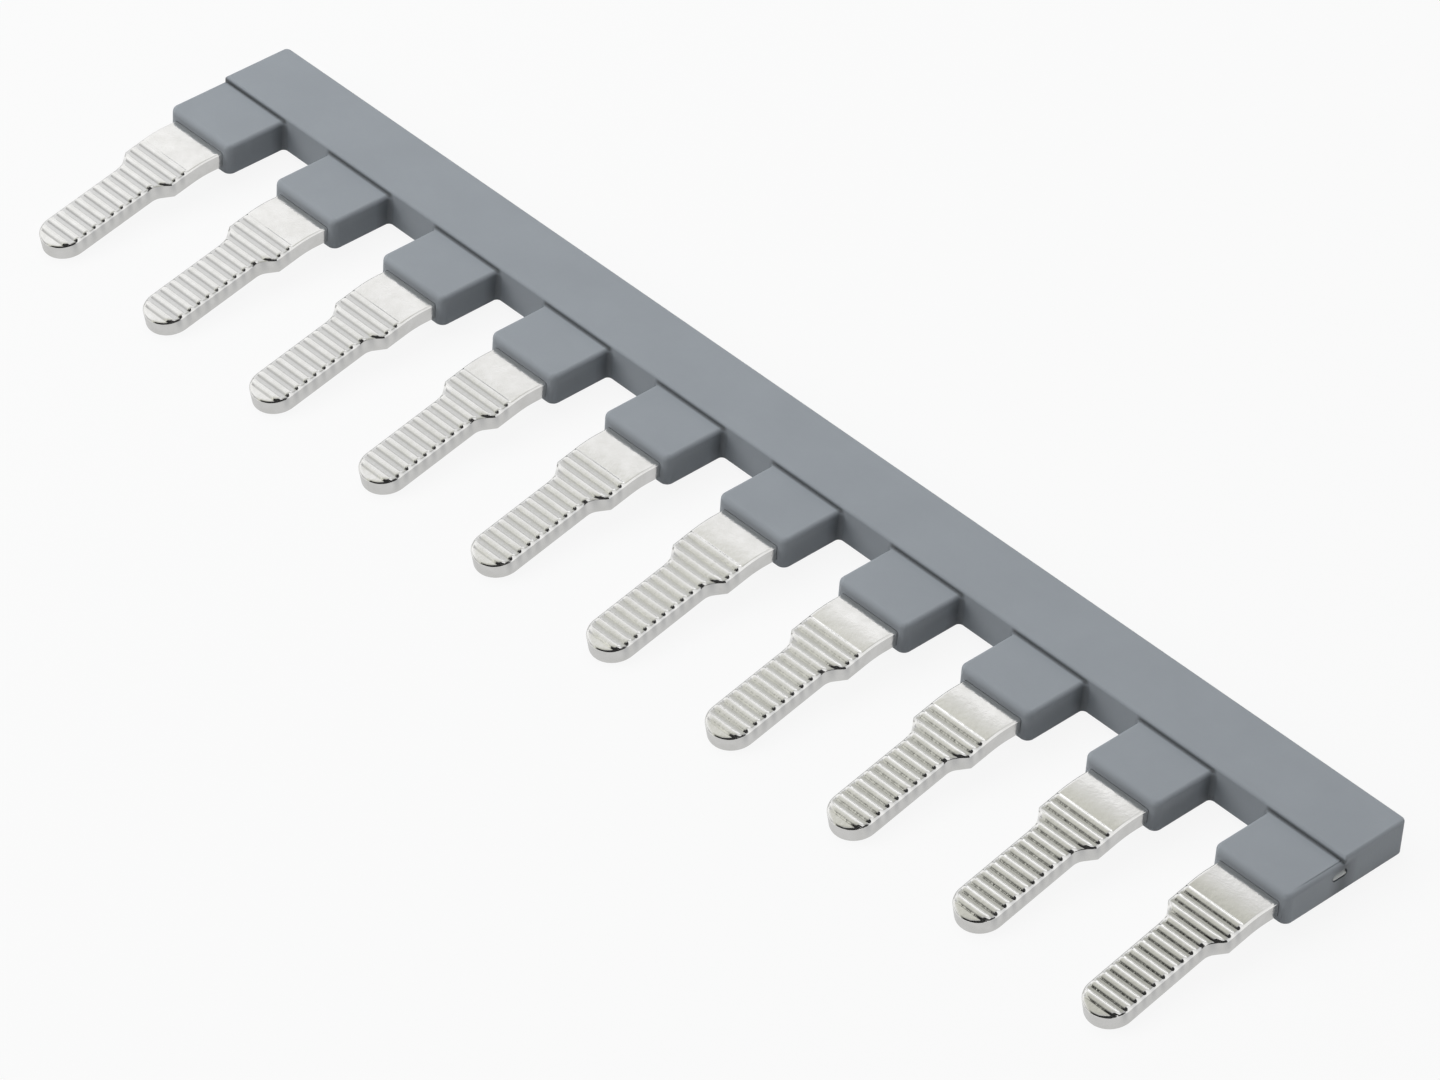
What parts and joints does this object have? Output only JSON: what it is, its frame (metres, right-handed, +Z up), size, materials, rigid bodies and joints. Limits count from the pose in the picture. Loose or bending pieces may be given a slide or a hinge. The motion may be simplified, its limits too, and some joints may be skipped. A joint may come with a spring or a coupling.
{
  "type": "terminal block jumper bar",
  "caption": "Grey plastic jumper bar with a row of bent, ribbed metal tongues that links a row of screw terminal blocks.",
  "frame": {"origin": "on the bench, under the middle of the bar's outline", "axes": "+X along the row of tongues, tongues point to -Y, +Z up from the bench"},
  "size_m": [0.1168, 0.027, 0.0036],
  "materials": {
    "body_plastic": "fine matte moulding texture",
    "plated_metal": "bright tin plating on stamped copper"
  },
  "bodies": {
    "root": {"insulating_body": "body_plastic", "contact_comb": "plated_metal"}
  },
  "joints": []
}
